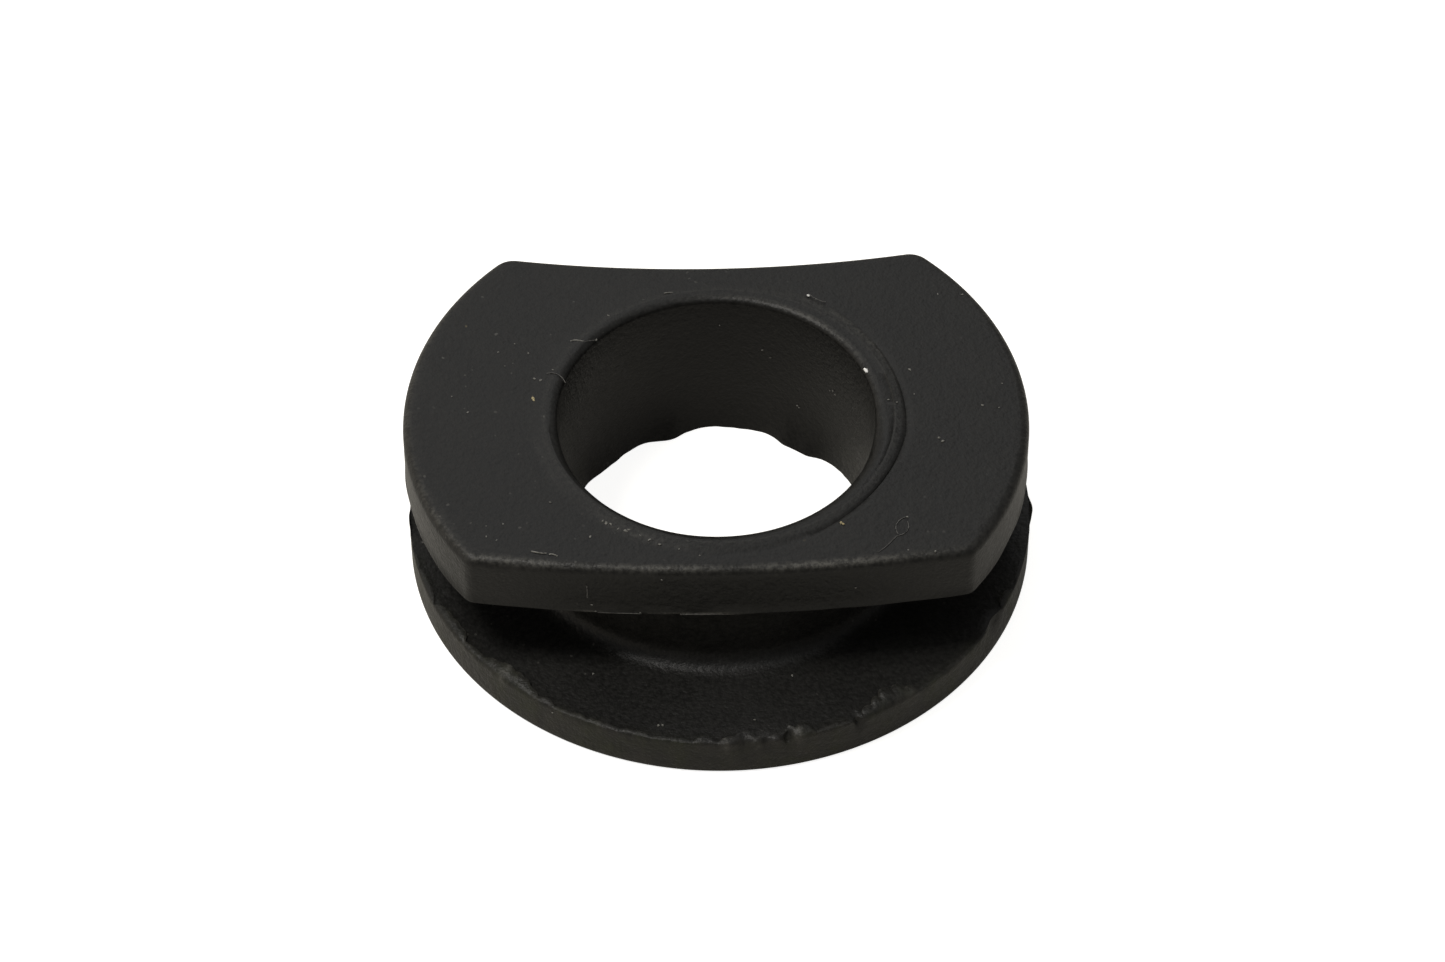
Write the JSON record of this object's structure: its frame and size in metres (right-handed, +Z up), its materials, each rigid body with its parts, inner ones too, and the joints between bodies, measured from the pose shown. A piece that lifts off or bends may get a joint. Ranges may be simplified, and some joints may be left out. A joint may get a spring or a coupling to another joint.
{
  "type": "rubber damper grommet",
  "caption": "Moulded black rubber damper: round base flange, short neck with a panel groove, upper flange with one bowed and one hollow side, and a through bore.",
  "frame": {"origin": "centre of the bore on the flat underside of the base flange", "axes": "+Z up along the bore from the base flange to the upper flange; the bowed side of the upper flange faces -Y and its hollow side faces +Y"},
  "size_m": [0.0252, 0.0252, 0.0073],
  "materials": {
    "rubber": "matte moulded rubber with a worn, dusty skin"
  },
  "bodies": {
    "root": {"damper_body": "rubber"}
  },
  "joints": []
}
